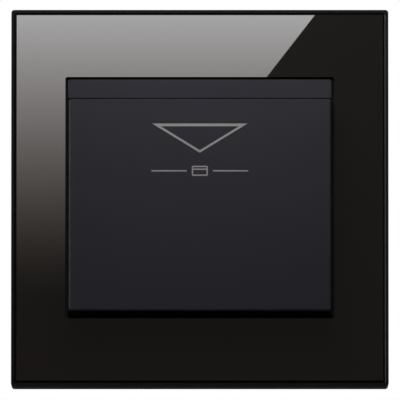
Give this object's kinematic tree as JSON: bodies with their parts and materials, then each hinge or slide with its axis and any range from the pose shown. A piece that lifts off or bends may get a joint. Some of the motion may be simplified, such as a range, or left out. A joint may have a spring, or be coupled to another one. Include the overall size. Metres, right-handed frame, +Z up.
{
  "type": "hotel key card switch",
  "caption": "Square wall plate of black glass with a raised charcoal pocket: a key card pushed in from above turns a lever that works the switch and relay behind it.",
  "frame": {"origin": "middle of the fixing pattern, on the wall's surface", "axes": "X to the right seen from the front, +Y into the wall, Z up; the front faces -Y"},
  "size_m": [0.086, 0.0449, 0.086],
  "materials": {
    "black_glass": "back painted float glass, polished edge",
    "tape": "black acrylic foam tape",
    "frame_plastic": "black moulded PC, satin gloss",
    "cover_plastic": "charcoal moulded PC, fine spark texture",
    "plate_plastic": "charcoal moulded PC, fine spark texture",
    "strap_steel": "zinc plated pressed steel",
    "screw_steel": "zinc plated steel, yellow passivated",
    "brass": "turned brass",
    "chassis_plastic": "moulded PBT, off white",
    "housing_plastic": "moulded urea, off white",
    "lever_plastic": "moulded acetal, charcoal",
    "pin_steel": "ground steel pin",
    "spring_steel": "drawn spring steel wire",
    "switch_plastic": "moulded PBT, black",
    "button_plastic": "moulded acetal, red",
    "contact_metal": "tinned copper alloy strip",
    "blade_copper": "beryllium copper strip",
    "board_laminate": "glass epoxy laminate, green solder resist",
    "terminal_plastic": "moulded polyamide, blue grey",
    "relay_plastic": "moulded PBT, blue",
    "coil_copper": "enamelled copper winding",
    "relay_iron": "nickel plated soft iron",
    "film_coating": "dipped epoxy, red brown",
    "can_sleeve": "shrink sleeve, dark blue",
    "ceramic_coating": "dipped epoxy, blue",
    "fuse_ceramic": "glazed ceramic tube",
    "chip_plastic": "moulded epoxy, black"
  },
  "bodies": {
    "body": {"glass_panel": "black_glass", "glass_tape": "tape", "panel_frame": "frame_plastic", "front_cover": "cover_plastic", "pocket_plate": "plate_plastic", "mounting_strap": "strap_steel", "strap_screws": "screw_steel", "earth_washer": "brass", "earth_screw": "brass", "chassis": "chassis_plastic", "rear_housing": "housing_plastic", "lever_pin": "pin_steel", "lever_spring": "spring_steel", "switch_case": "switch_plastic", "switch_lid": "switch_plastic", "switch_contacts": "contact_metal", "circuit_board": "board_laminate", "board_screws": "screw_steel", "terminal_block": "terminal_plastic", "terminal_cages": "brass", "terminal_screws": "screw_steel", "relay_base": "switch_plastic", "relay_case": "relay_plastic", "relay_coil": "coil_copper", "relay_yoke": "relay_iron", "relay_contacts": "contact_metal", "film_capacitor": "film_coating", "electrolytic_capacitor": "can_sleeve", "fuse": "fuse_ceramic", "varistor": "ceramic_coating", "rectifier": "chip_plastic", "timer_chip": "chip_plastic"},
    "lever": {"card_lever": "lever_plastic"},
    "button": {"switch_button": "button_plastic"},
    "blade": {"switch_blade": "blade_copper"},
    "armature": {"relay_armature": "relay_iron"}
  },
  "joints": [
    {"name": "lever_turn", "type": "hinge", "parent": "body", "child": "lever", "pos_m": [0, -0.0022, -0.01318], "axis": [1, 0, 0], "range_deg": [0, 17], "stiffness_Nm_per_rad": 0.004, "springref_deg": -22.92, "deforming": ["lever_spring"]},
    {"name": "button_push", "type": "slide", "parent": "body", "child": "button", "axis": [0, 1, 0], "range_m": [0, 0.001]},
    {"name": "blade_turn", "type": "hinge", "parent": "body", "child": "blade", "pos_m": [-0.009, 0.00381, -0.01615], "axis": [0, 0, 1], "range_deg": [0, 6.3]},
    {"name": "armature_turn", "type": "hinge", "parent": "body", "child": "armature", "pos_m": [0.0003, 0.02381, -0.00815], "axis": [0, 0, -1], "range_deg": [0, 5], "stiffness_Nm_per_rad": 0.003, "springref_deg": -11.46}
  ],
  "couplings": [
    {"joint": "button_push", "follows": "lever_turn", "m_per_rad": 0.002989},
    {"joint": "blade_turn", "follows": "lever_turn", "ratio": 0.33104}
  ]
}
